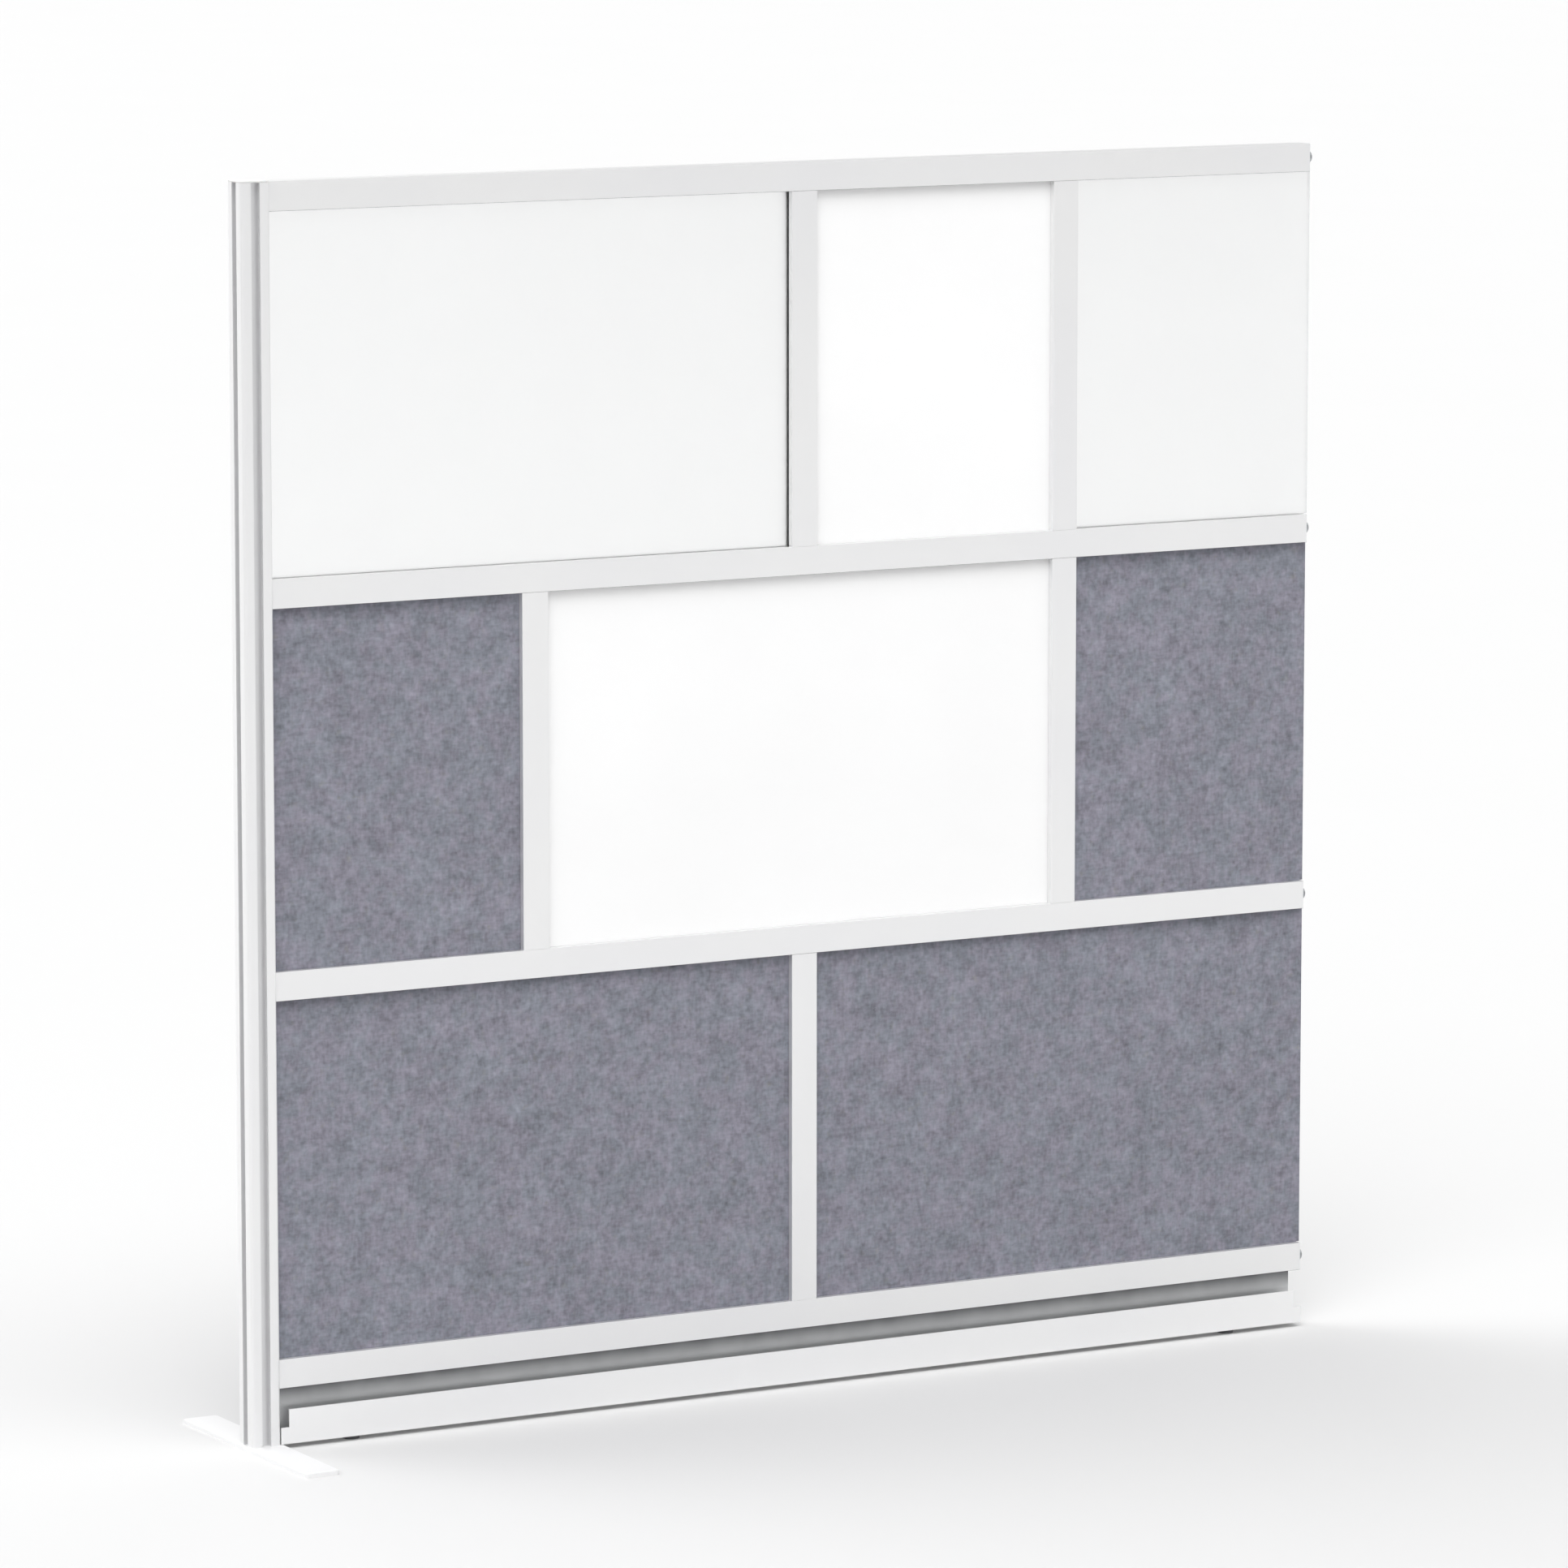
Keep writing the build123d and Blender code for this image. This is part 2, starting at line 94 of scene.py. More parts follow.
def linear(code: str) -> tuple[float, float, float, float]:
    """Turn an sRGB hex colour into the linear one that a shader takes.

    Args:
        code: Colour such as "#E7E7E8".

    Returns:
        Red, green, blue and an alpha of one, linear.
    """
    channels = [int(code[place:place + 2], 16) / 255 for place in (1, 3, 5)]
    red, green, blue = (c / 12.92 if c <= 0.04045 else ((c + 0.055) / 1.055) ** 2.4 for c in channels)
    return red, green, blue, 1.0


def per_mm(size: float) -> float:
    """Scale of a pattern whose features are that many millimetres wide."""
    return 1 / (size * MM)


def add(tree: bpy.types.NodeTree, kind: str, inputs: dict | None = None, **settings: str) -> bpy.types.Node:
    """Add a node to a tree, with its settings and links.

    Args:
        tree: Shader or geometry tree.
        kind: The node's type.
        inputs: What each input gets, by name, or by number where names repeat: a value, a hex colour,
            a socket, or a node, of which the first output in use is taken.
        settings: Values of the node's own properties.

    Returns:
        The new node.
    """
    node = tree.nodes.new(kind)
    for name, value in settings.items():
        setattr(node, name, value)
    sockets = [socket for socket in node.inputs if socket.enabled]
    names = [socket.name for socket in sockets]
    for key, value in (inputs or {}).items():
        socket = sockets[names.index(key) if isinstance(key, str) else key]
        if isinstance(value, bpy.types.Node):
            value = next(output for output in value.outputs if output.enabled)
        if isinstance(value, bpy.types.NodeSocket):
            tree.links.new(value, socket)
        else:
            socket.default_value = linear(value) if isinstance(value, str) else value
    return node


class Surface:
    """A material under way: its tree and the object's own coordinates."""

    def __init__(self, name: str) -> None:
        """Start a material.

        Args:
            name: Name of the material.
        """
        self.material = bpy.data.materials.new(name)
        self.material.use_nodes = True
        self.tree = self.material.node_tree
        self.tree.nodes.clear()
        self.place = self.add("ShaderNodeTexCoord").outputs["Object"]

    def add(self, kind: str, inputs: dict | None = None, **settings: str) -> bpy.types.Node:
        """Add a node to the material's tree; the arguments are those of add()."""
        return add(self.tree, kind, inputs, **settings)

    def grain(self, size_mm: float, detail: float = 2.0, shift: float = 0.0) -> bpy.types.Node:
        """Lay an even pattern over the surface, whose features are of one size.

        Args:
            size_mm: Width of a feature.
            detail: Octaves of finer noise on it.
            shift: Distance by which the pattern is moved, to make it another one.

        Returns:
            The pattern, from 0 to 1 about a half.
        """
        moved = self.add("ShaderNodeMapping", {"Vector": self.place, "Location": (shift, shift, shift)})
        return self.add("ShaderNodeTexNoise", {"Vector": moved, "Scale": per_mm(size_mm), "Detail": detail})

    def streaks(self, size_mm: Triple, turn: float, shift: float) -> bpy.types.Node:
        """Lay a pattern over the surface that is drawn out along one direction in the wall's plane.

        Args:
            size_mm: Length of a streak, its depth and its width.
            turn: Angle of the streaks in the wall's plane, in radians.
            shift: Distance by which the pattern is moved, to make it another one.

        Returns:
            The pattern, from 0 to 1 about a half.
        """
        stretched = self.add(
            "ShaderNodeMapping",
            {
                "Vector": self.place,
                "Location": (shift, shift, shift),
                "Rotation": (0, turn, 0),
                "Scale": tuple(size * MM for size in size_mm),
            },
            vector_type="TEXTURE",
        )
        return self.add("ShaderNodeTexNoise", {"Vector": stretched, "Scale": 1, "Detail": 1})

    def close(self, inputs: dict) -> bpy.types.Material:
        """Finish the material with its shader.

        Args:
            inputs: What each of the shader's inputs gets, by name.

        Returns:
            The material.
        """
        shader = self.add("ShaderNodeBsdfPrincipled", inputs)
        self.add("ShaderNodeOutputMaterial", {"Surface": shader})
        return self.material


@dataclass(frozen=True)
class Finish:
    """What most finishes share: two close tones, a gloss that varies a little, and a shallow relief."""

    name: str
    colour: str
    shade: str
    # Where the gloss pattern is low, and where it is high.
    roughness: tuple[float, float]
    relief_mm: float

    def look(self, skin: Surface, cloud: bpy.types.Node, gloss: bpy.types.Node,
             relief: bpy.types.Node) -> dict[str, bpy.types.Node]:
        """Let patterns mix the two tones, vary the gloss and make the relief.

        Args:
            skin: The material under way.
            cloud: Share of the second tone.
            gloss: Pattern of the gloss.
            relief: Pattern of the relief.

        Returns:
            What the shader's inputs get, by name.
        """
        mixed = {"Factor": cloud, "A": self.colour, "B": self.shade}
        low, high = self.roughness
        varied = {"Value": gloss, **BAND, "To Min": low, "To Max": high}
        return {
            "Base Color": skin.add("ShaderNodeMix", mixed, data_type="RGBA"),
            "Roughness": skin.add("ShaderNodeMapRange", varied),
            "Normal": skin.add("ShaderNodeBump", {"Height": relief, "Distance": self.relief_mm * MM}),
        }


@dataclass(frozen=True)
class PowderCoat(Finish):
    """Polyester powder coat baked on steel: an even satin skin with a faint orange peel."""

    relief_mm: float = 0.02
    cloud_mm: float = 260.0
    peel_mm: float = 2.4

    def material(self) -> bpy.types.Material:
        """Make the material.

        Returns:
            The material.
        """
        skin = Surface(self.name)
        cloud = skin.add("ShaderNodeMapRange", {"Value": skin.grain(self.cloud_mm, 3.0), **NARROW_BAND})
        peel = skin.grain(self.peel_mm, 1.0)
        return skin.close(self.look(skin, cloud, peel, peel))


@dataclass(frozen=True, kw_only=True)
class SatinAnodised(Finish):
    """Etched and anodised aluminium: a pale metal that mirrors its neighbours softly.

    Die lines run along the bar, and its sawn end is bare. The slots' insides and the faces that look down
    are rougher, and take darker tones as painted shade.
    """

    colour: str = "#F4F4F4"
    shade: str = "#F2F2F3"
    roughness: tuple[float, float] = (0.28, 0.33)
    relief_mm: float = 0.004
    # Less than one, because the etched film scatters part of the light before the metal mirrors the rest.
    metallic: float = 0.7
    cloud_mm: float = 240.0
    run: Run
    # Real die lines are a few hundredths of a millimetre wide: they are drawn wide enough to show.
    line_mm: Triple = (400.0, 1.3, 1.3)
    saw_cut_at: float | None = None
    saw_tones: tuple[str, str] = ("#C4C5C7", "#A9AAAD")
    saw_mark_mm: Triple = (40.0, 40.0, 0.9)
    saw_turn: float = 0.3
    saw_margin: float = 0.05 * MM
    # Painted shade: inside this distance of the post's axis, the slots' insides take a darker tone.
    slots_within: float | None = None
    slot_painted_shade: str = "#E8E8E9"
    slot_dulling: float = 0.1
    # Painted shade: faces that look down take this dark tone, so that little light bounces off them onto
    # what lies under them.
    painted_shade_below: bool = False
    below_painted_shade: str = "#5E5E60"
    below_dulling: float = 0.4
    # A face looks down where its normal's Z is under this.
    below_normal: float = -0.5

    def material(self) -> bpy.types.Material:
        """Make the material.

        Returns:
            The material.
        """
        skin = Surface(self.name)
        cloud = skin.add("ShaderNodeMapRange", {"Value": skin.grain(self.cloud_mm, 3.0), **NARROW_BAND})
        lines = skin.streaks(self.line_mm, self.run.value, shift=0.4)
        look = self.look(skin, cloud, lines, lines)
        tone, gloss = look["Base Color"], look["Roughness"]
        for where, other, dulling in self.odd_places(skin):
            tone = skin.add("ShaderNodeMix", {"Factor": where, "A": tone, "B": other}, data_type="RGBA")
            if dulling:
                more = skin.add("ShaderNodeMath", {0: where, 1: dulling}, operation="MULTIPLY")
                gloss = skin.add("ShaderNodeMath", {0: gloss, 1: more}, operation="ADD")
        return skin.close({**look, "Base Color": tone, "Roughness": gloss, "Metallic": self.metallic})

    def odd_places(self, skin: Surface) -> list[tuple[bpy.types.Node, bpy.types.Node | str, float]]:
        """Find the places on a bar that don't look like its faces.

        Args:
            skin: The material under way.

        Returns:
            For each place a mask that is one there, its tone, and how much rougher it is.
        """
        places = []
        if self.saw_cut_at is not None:
            along = skin.add("ShaderNodeSeparateXYZ", {"Vector": skin.place}).outputs["X"]
            edge = self.saw_cut_at - self.saw_margin
            sawn = skin.add("ShaderNodeMath", {0: along, 1: edge}, operation="GREATER_THAN")
            marks = skin.streaks(self.saw_mark_mm, self.saw_turn, shift=0.2)
            share = skin.add("ShaderNodeMapRange", {"Value": marks, **BAND})
            bright, dark = self.saw_tones
            bare = skin.add("ShaderNodeMix", {"Factor": share, "A": bright, "B": dark}, data_type="RGBA")
            places.append((sawn, bare, 0.0))
        # Painted shade inside the post's slots.
        if self.slots_within is not None:
            split = skin.add("ShaderNodeSeparateXYZ", {"Vector": skin.place}).outputs
            along = skin.add("ShaderNodeMath", {0: split["X"]}, operation="ABSOLUTE")
            deep = skin.add("ShaderNodeMath", {0: split["Y"]}, operation="ABSOLUTE")
            out = skin.add("ShaderNodeMath", {0: along, 1: deep}, operation="MAXIMUM")
            within = skin.add("ShaderNodeMath", {0: out, 1: self.slots_within}, operation="LESS_THAN")
            places.append((within, self.slot_painted_shade, self.slot_dulling))
        # Painted shade on the faces that look down, which are also rougher.
        if self.painted_shade_below:
            facing = skin.add("ShaderNodeNewGeometry").outputs["Normal"]
            upward = skin.add("ShaderNodeSeparateXYZ", {"Vector": facing}).outputs["Z"]
            under = skin.add("ShaderNodeMath", {0: upward, 1: self.below_normal}, operation="LESS_THAN")
            places.append((under, self.below_painted_shade, self.below_dulling))
        return places


@dataclass(frozen=True, kw_only=True)
class GreyWeb(Finish):
    """Grey anodised extrusion in the raceway: dull, with die lines.

    Painted shade makes it darker just under the rail and paler lower down, towards the trough.
    """

    name: str = "grey_anodised_web"
    # The colour is the darkest tone, in the painted shade under the rail; the shade is the paler tone lower
    # down.
    colour: str = "#6F7072"
    shade: str = "#D3D4D5"
    roughness: tuple[float, float] = (0.47, 0.54)
    relief_mm: float = 0.01
    shade_darkest_above: float
    shade_gone_below: float
    cloud_mm: float = 45.0
    cloud_share: float = 0.06
    # Drawn wide enough to show, as on the rails.
    line_mm: Triple = (500.0, 1.1, 1.1)

    def material(self) -> bpy.types.Material:
        """Make the material.

        Returns:
            The material.
        """
        web = Surface(self.name)
        height = web.add("ShaderNodeSeparateXYZ", {"Vector": web.place}).outputs["Z"]
        # Painted shade: the paler tone's share goes from none under the rail to full near the trough.
        shade_fade = web.add(
            "ShaderNodeMapRange",
            {"Value": height, "From Min": self.shade_darkest_above, "From Max": self.shade_gone_below},
        )
        low, high = -self.cloud_share, self.cloud_share
        cloud = web.grain(self.cloud_mm)
        uneven = web.add("ShaderNodeMapRange", {"Value": cloud, **BAND, "To Min": low, "To Max": high})
        share = web.add("ShaderNodeMath", {0: shade_fade, 1: uneven}, operation="ADD")
        lines = web.streaks(self.line_mm, Run.LEVEL.value, shift=0.6)
        return web.close({**self.look(web, share, lines, lines), "Metallic": 1.0})


@dataclass(frozen=True)
class Strokes:
    """One layer of the felt's fibres: short strokes of one size that lie one way."""

    length_mm: float
    width_mm: float
    run: Run
    strength: float


@dataclass(frozen=True)
class Clumps:
    """One layer of the felt's clumps, where fibres gather."""

    size_mm: float
    strength: float


@dataclass(frozen=True)
class HeatherFelt:
    """Needled polyester felt: matt, of short fibres in several greys laid along and across.

    Clouds show where one dye gathers, and clumps where the fibres do.
    """

    name: str = "heather_polyester_felt"
    violet: str = "#868490"
    slate: str = "#80838D"
    olive: str = "#818180"
    roughness: float = 0.95
    sheen: float = 0.08
    sheen_roughness: float = 0.5
    cloud_mm: float = 60.0
    patch_mm: float = 14.0
    # Two patterns are added for the violet and slate clouds, so their band lies about one.
    cloud_band: tuple[float, float] = (0.84, 1.16)
    olive_band: tuple[float, float] = (0.6, 0.78)
    olive_share: float = 0.6
    # Real fibres are 0.03 mm thick: they are drawn as tufts that are coarse enough to show.
    strokes: tuple[Strokes, ...] = (
        Strokes(12.0, 4.4, Run.LEVEL, 0.45),
        Strokes(12.0, 4.4, Run.UPRIGHT, 0.42),
        Strokes(6.5, 2.4, Run.LEVEL, 0.14),
        Strokes(6.5, 2.4, Run.UPRIGHT, 0.12),
    )
    clumps: tuple[Clumps, ...] = (Clumps(8.5, 0.58), Clumps(18.0, 0.54), Clumps(50.0, 0.30))
    relief_depth_mm: float = 0.25
    relief_strength: float = 0.5
    # Each layer reads the noise in another place, so that none repeats another.
    stroke_shift: float = 0.5
    clump_shift: float = 1.3
    layer_step: float = 0.37

    def dyes(self, felt: Surface) -> bpy.types.Node:
        """Cloud the three dyes over each other.

        Args:
            felt: The material under way.

        Returns:
            The colour.
        """
        clouds, patches = felt.grain(self.cloud_mm), felt.grain(self.patch_mm, shift=2.1)
        both = felt.add("ShaderNodeMath", {0: clouds, 1: patches}, operation="ADD")
        low, high = self.cloud_band
        share = felt.add("ShaderNodeMapRange", {"Value": both, "From Min": low, "From Max": high})
        mixed = {"Factor": share, "A": self.violet, "B": self.slate}
        cool = felt.add("ShaderNodeMix", mixed, data_type="RGBA")
        low, high = self.olive_band
        spots = felt.grain(self.patch_mm, shift=3.1)
        span = {"From Min": low, "From Max": high, "To Max": self.olive_share}
        warm = felt.add("ShaderNodeMapRange", {"Value": spots, **span})
        return felt.add("ShaderNodeMix", {"Factor": warm, "A": cool, "B": self.olive}, data_type="RGBA")

    def fibres(self, felt: Surface) -> tuple[bpy.types.Node, float]:
        """Lay strokes and clumps over each other.

        Args:
            felt: The material under way.

        Returns:
            The sum of all layers, and the middle that it lies about.
        """
        parts = []
        for number, each in enumerate(self.strokes):
            size = each.length_mm, each.width_mm, each.width_mm
            layer = felt.streaks(size, each.run.value, self.stroke_shift + number * self.layer_step)
            parts.append(felt.add("ShaderNodeMath", {0: layer, 1: each.strength}, operation="MULTIPLY"))
        for number, each in enumerate(self.clumps):
            layer = felt.grain(each.size_mm, 1.0, self.clump_shift + number * self.layer_step)
            parts.append(felt.add("ShaderNodeMath", {0: layer, 1: each.strength}, operation="MULTIPLY"))
        total = parts[0]
        for part in parts[1:]:
            total = felt.add("ShaderNodeMath", {0: total, 1: part}, operation="ADD")
        return total, sum(each.strength for each in self.strokes + self.clumps) / 2

    def material(self) -> bpy.types.Material:
        """Make the material: the dyes, lightened and darkened by the fibres.

        Returns:
            The material.
        """
        felt = Surface(self.name)
        dyes = self.dyes(felt)
        fibres, middle = self.fibres(felt)
        shade = felt.add("ShaderNodeMath", {0: fibres, 1: 1 - middle}, operation="ADD")
        tone = felt.add("ShaderNodeVectorMath", {"Vector": dyes, "Scale": shade}, operation="SCALE")
        relief = felt.add(
            "ShaderNodeBump",
            {"Height": fibres, "Distance": self.relief_depth_mm * MM, "Strength": self.relief_strength},
        )
        return felt.close(
            {
                "Base Color": tone,
                "Roughness": self.roughness,
                "Sheen Weight": self.sheen,
                "Sheen Roughness": self.sheen_roughness,
                "Normal": relief,
            }
        )


@dataclass(frozen=True)
class FrostedAcrylic(Finish):
    """Cast acrylic sheet, blasted on both faces: lets light through, blurs what is behind, with no gloss."""

    name: str = "frosted_acrylic"
    colour: str = "#FFFFFF"
    shade: str = "#FDFEFE"
    roughness: tuple[float, float] = (0.30, 0.36)
    relief_mm: float = 0.02
    transmission: float = 0.98
    index: float = 1.49
    # The grit of the real sheet is finer: it is drawn coarse enough to show.
    grit_mm: float = 0.8
    haze_mm: float = 180.0

    def material(self) -> bpy.types.Material:
        """Make the material.

        Returns:
            The material.
        """
        sheet = Surface(self.name)
        grit = sheet.grain(self.grit_mm)
        share = sheet.add("ShaderNodeMapRange", {"Value": grit, **NARROW_BAND})
        look = self.look(sheet, share, sheet.grain(self.haze_mm), grit)
        return sheet.close({**look, "IOR": self.index, "Transmission Weight": self.transmission})


@dataclass(frozen=True)
class MarkerBoardSteel(Finish):
    """Thin steel with a baked gloss white coat: bright and smooth, with faint wiping marks in its gloss."""

    name: str = "marker_board_steel"
    colour: str = "#FBFBFB"
    shade: str = "#F8F8F8"
    roughness: tuple[float, float] = (0.10, 0.22)
    relief_mm: float = 0.006
    cloud_mm: float = 320.0
    wipe_mm: Triple = (160.0, 40.0, 9.0)
    wipe_turn: float = 0.5
    ripple_mm: float = 6.0

    def material(self) -> bpy.types.Material:
        """Make the material.

        Returns:
            The material.
        """
        coat = Surface(self.name)
        cloud = coat.add("ShaderNodeMapRange", {"Value": coat.grain(self.cloud_mm), **BAND})
        wiped = coat.streaks(self.wipe_mm, self.wipe_turn, shift=0.8)
        return coat.close(self.look(coat, cloud, wiped, coat.grain(self.ripple_mm, 1.0)))


@dataclass(frozen=True)
class DrawnMetal(Finish):
    """Bare or plated metal, drawn or turned: a fine grain in tone and gloss along its working direction."""

    relief_mm: float = 0.01
    # The real grain is about a tenth as wide: it is drawn wide enough to show.
    grain_mm: Triple = (14.0, 0.7, 0.7)
    spot_mm: float = 3.0
    # Two patterns are added for its tone, so their band lies about one.
    tone_band: tuple[float, float] = (0.7, 1.3)

    def material(self) -> bpy.types.Material:
        """Make the material.

        Returns:
            The material.
        """
        metal = Surface(self.name)
        lines = metal.streaks(self.grain_mm, Run.LEVEL.value, shift=0.1)
        spots = metal.grain(self.spot_mm, 3.0)
        both = metal.add("ShaderNodeMath", {0: lines, 1: spots}, operation="ADD")
        low, high = self.tone_band
        share = metal.add("ShaderNodeMapRange", {"Value": both, "From Min": low, "From Max": high})
        return metal.close({**self.look(metal, share, lines, lines), "Metallic": 1.0})


@dataclass(frozen=True)
class MouldedPlastic(Finish):
    """Injection moulded plastic: a spark-eroded grain that dulls it, and a soft, slightly deep tone."""

    relief_mm: float = 0.02
    # Share of the light that goes in, and how far.
    depth: float = 0.0
    depth_mm: float = 1.5
    cloud_mm: float = 30.0
    # The real grain is about 0.1 mm wide: it is drawn wide enough to show.
    grain_mm: float = 0.7

    def material(self) -> bpy.types.Material:
        """Make the material.

        Returns:
            The material.
        """
        plastic = Surface(self.name)
        grain = plastic.grain(self.grain_mm)
        look = self.look(plastic, plastic.grain(self.cloud_mm), grain, grain)
        within = {"Subsurface Weight": self.depth, "Subsurface Scale": self.depth_mm * MM}
        return plastic.close({**look, **within})


@dataclass(frozen=True)
class PressedFibreBoard:
    """Dense board of pressed wood fibres, seen at its sawn edges: brown, with short pale and dark flecks."""

    name: str = "pressed_fibre_board"
    colour: str = "#A78A63"
    shade: str = "#7D6240"
    roughness: float = 0.85
    fleck_mm: Triple = (4.0, 1.0, 0.8)
    fleck_depth_mm: float = 0.08

    def material(self) -> bpy.types.Material:
        """Make the material.

        Returns:
            The material.
        """
        board = Surface(self.name)
        pattern = board.streaks(self.fleck_mm, Run.LEVEL.value, shift=0.3)
        flecks = board.add("ShaderNodeMapRange", {"Value": pattern, **NARROW_BAND})
        mixed = {"Factor": flecks, "A": self.colour, "B": self.shade}
        tone = board.add("ShaderNodeMix", mixed, data_type="RGBA")
        relief = board.add("ShaderNodeBump", {"Height": flecks, "Distance": self.fleck_depth_mm * MM})
        return board.close({"Base Color": tone, "Roughness": self.roughness, "Normal": relief})


@dataclass(frozen=True)
class FloorPaint:
    """Matt white studio paint: dead flat, with a hardly visible cloud in its tone."""

    name: str = "matt_white_floor_paint"
    colour: str = "#E0E0E0"
    shade: str = "#DFDFDF"
    roughness: float = 0.9
    cloud_mm: float = 900.0

    def material(self) -> bpy.types.Material:
        """Make the material.

        Returns:
            The material.
        """
        paint = Surface(self.name)
        mixed = {"Factor": paint.grain(self.cloud_mm), "A": self.colour, "B": self.shade}
        tone = paint.add("ShaderNodeMix", mixed, data_type="RGBA")
        return paint.close({"Base Color": tone, "Roughness": self.roughness})


class GeometryTree:
    """A Geometry Nodes tree with named inputs, which ends in Realize Instances and Set Material."""

    def __init__(self, name: str, sizes: list[str]) -> None:
        """Start a tree.

        Args:
            name: Name of the tree.
            sizes: Names of its number inputs.
        """
        self.group = bpy.data.node_groups.new(name, "GeometryNodeTree")
        face = self.group.interface
        face.new_socket("Geometry", in_out="INPUT", socket_type="NodeSocketGeometry")
        for size in sizes:
            face.new_socket(size, in_out="INPUT", socket_type="NodeSocketFloat")
        face.new_socket("Finish", in_out="INPUT", socket_type="NodeSocketMaterial")
        face.new_socket("Geometry", in_out="OUTPUT", socket_type="NodeSocketGeometry")
        self.entry = self.add("NodeGroupInput").outputs

    def add(self, kind: str, inputs: dict | None = None, **settings: str) -> bpy.types.Node:
        """Add a node to the tree; the arguments are those of add()."""
        return add(self.group, kind, inputs, **settings)

    def close(self, shape: bpy.types.Node) -> None:
        """Realize a shape, give it its finish and make it the tree's result.

        Args:
            shape: The node that makes the shape.
        """
        real = self.add("GeometryNodeRealizeInstances", {"Geometry": shape})
        dressed = self.add("GeometryNodeSetMaterial", {"Geometry": real, "Material": self.entry["Finish"]})
        self.add("NodeGroupOutput", {"Geometry": dressed})

    def bake(self, name: str, host: bpy.types.Mesh, values: dict[str, object]) -> bpy.types.Object:
        """Run the tree on a mesh and keep its result as a plain mesh.

        Args:
            name: Name of the new piece.
            host: Mesh that the tree starts from.
            values: Values of the tree's named inputs.

        Returns:
            The new piece, at the origin.
        """
        carrier = bpy.data.objects.new(name + "_host", host)
        bpy.context.scene.collection.objects.link(carrier)
        modifier = carrier.modifiers.new(self.group.name, "NODES")
        modifier.node_group = self.group
        for item in self.group.interface.items_tree:
            if item.in_out == "INPUT" and item.name in values:
                modifier[item.identifier] = values[item.name]
        carrier.update_tag()
        graph = bpy.context.evaluated_depsgraph_get()
        mesh = bpy.data.meshes.new_from_object(carrier.evaluated_get(graph))
        carrier.modifiers.remove(modifier)
        bpy.data.objects.remove(carrier)
        piece = bpy.data.objects.new(name, mesh)
        bpy.context.scene.collection.objects.link(piece)
        return piece


def make_piece(name: str, points: list[Triple], faces: list, finish: bpy.types.Material) -> bpy.types.Object:
    """Make an object from its points and faces.

    Args:
        name: Name of the object and of its mesh.
        points: Its points.
        faces: Numbers of the points round each face.
        finish: Its material.

    Returns:
        The object, at the origin.
    """
    mesh = bpy.data.meshes.new(name)
    mesh.from_pydata(points, [], faces)
    mesh.materials.append(finish)
    mesh.update()
    piece = bpy.data.objects.new(name, mesh)
    bpy.context.scene.collection.objects.link(piece)
    return piece


def dress(nodes: list[str] | tuple[str, ...], material: bpy.types.Material) -> None:
    """Give CAD nodes a finish.

    Args:
        nodes: Names of the nodes.
        material: Their new material.
    """
    for node in nodes:
        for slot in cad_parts[node].material_slots:
            slot.material = material
        log.info("dressed %s in %s", node, material.name)


def settle(piece: bpy.types.Object, body: str, slot: str, *nodes: str) -> None:
    """Parent a new piece to the body that it moves with, and hide the CAD nodes that it stands for.

    Args:
        piece: The finished piece.
        body: The CAD body that it moves with.
        slot: Not used.
        nodes: CAD nodes that it replaces.
    """
    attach(piece, body)
    if nodes:
        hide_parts(*nodes)
    log.info("made %s, %d faces", piece.name, len(piece.data.polygons))


@dataclass(frozen=True)
class FeltGrid:
    """The grid that a felt board is made on: its lines, and the outline of the board and its tongues."""

    xs: list[float]
    zs: list[float]
    # Where the board itself lies along the wall, beyond which only the tongues reach.
    span: tuple[float, float]
    # How high the tongues reach.
    rise: tuple[float, float]
    face_at: dict[Side, float]

    def holds(self, column: int, row: int) -> bool:
        """Say whether a cell of the grid belongs to the board.

        Args:
            column: Number of the cell along the wall.
            row: Its number upwards.

        Returns:
            True for a cell of the board or of a tongue.
        """
        if not (0 <= column < len(self.xs) - 1 and 0 <= row < len(self.zs) - 1):
            return False
        x = (self.xs[column] + self.xs[column + 1]) / 2
        z = (self.zs[row] + self.zs[row + 1]) / 2
        return self.span[0] < x < self.span[1] or self.rise[0] < z < self.rise[1]

    def faces(self) -> list[list[Corner]]:
        """List the faces of the closed board: both sides of each cell, and its cut edge all round.

        Returns:
            For each face its corners, each as the numbers of its grid lines and its side.
        """
        made = []
        for column, row in product(range(len(self.xs) - 1), range(len(self.zs) - 1)):
            if not self.holds(column, row):
                continue
            ring = [(column, row), (column + 1, row), (column + 1, row + 1), (column, row + 1)]
            made.append([(*corner, Side.FRONT) for corner in ring])
            made.append([(*corner, Side.BACK) for corner in reversed(ring)])
            across = [(column, row - 1), (column + 1, row), (column, row + 1), (column - 1, row)]
            for here, there, cell in zip(ring, ring[1:] + ring[:1], across):
                if not self.holds(*cell):
                    front = [(*there, Side.FRONT), (*here, Side.FRONT)]
                    made.append(front + [(*here, Side.BACK), (*there, Side.BACK)])
        return made


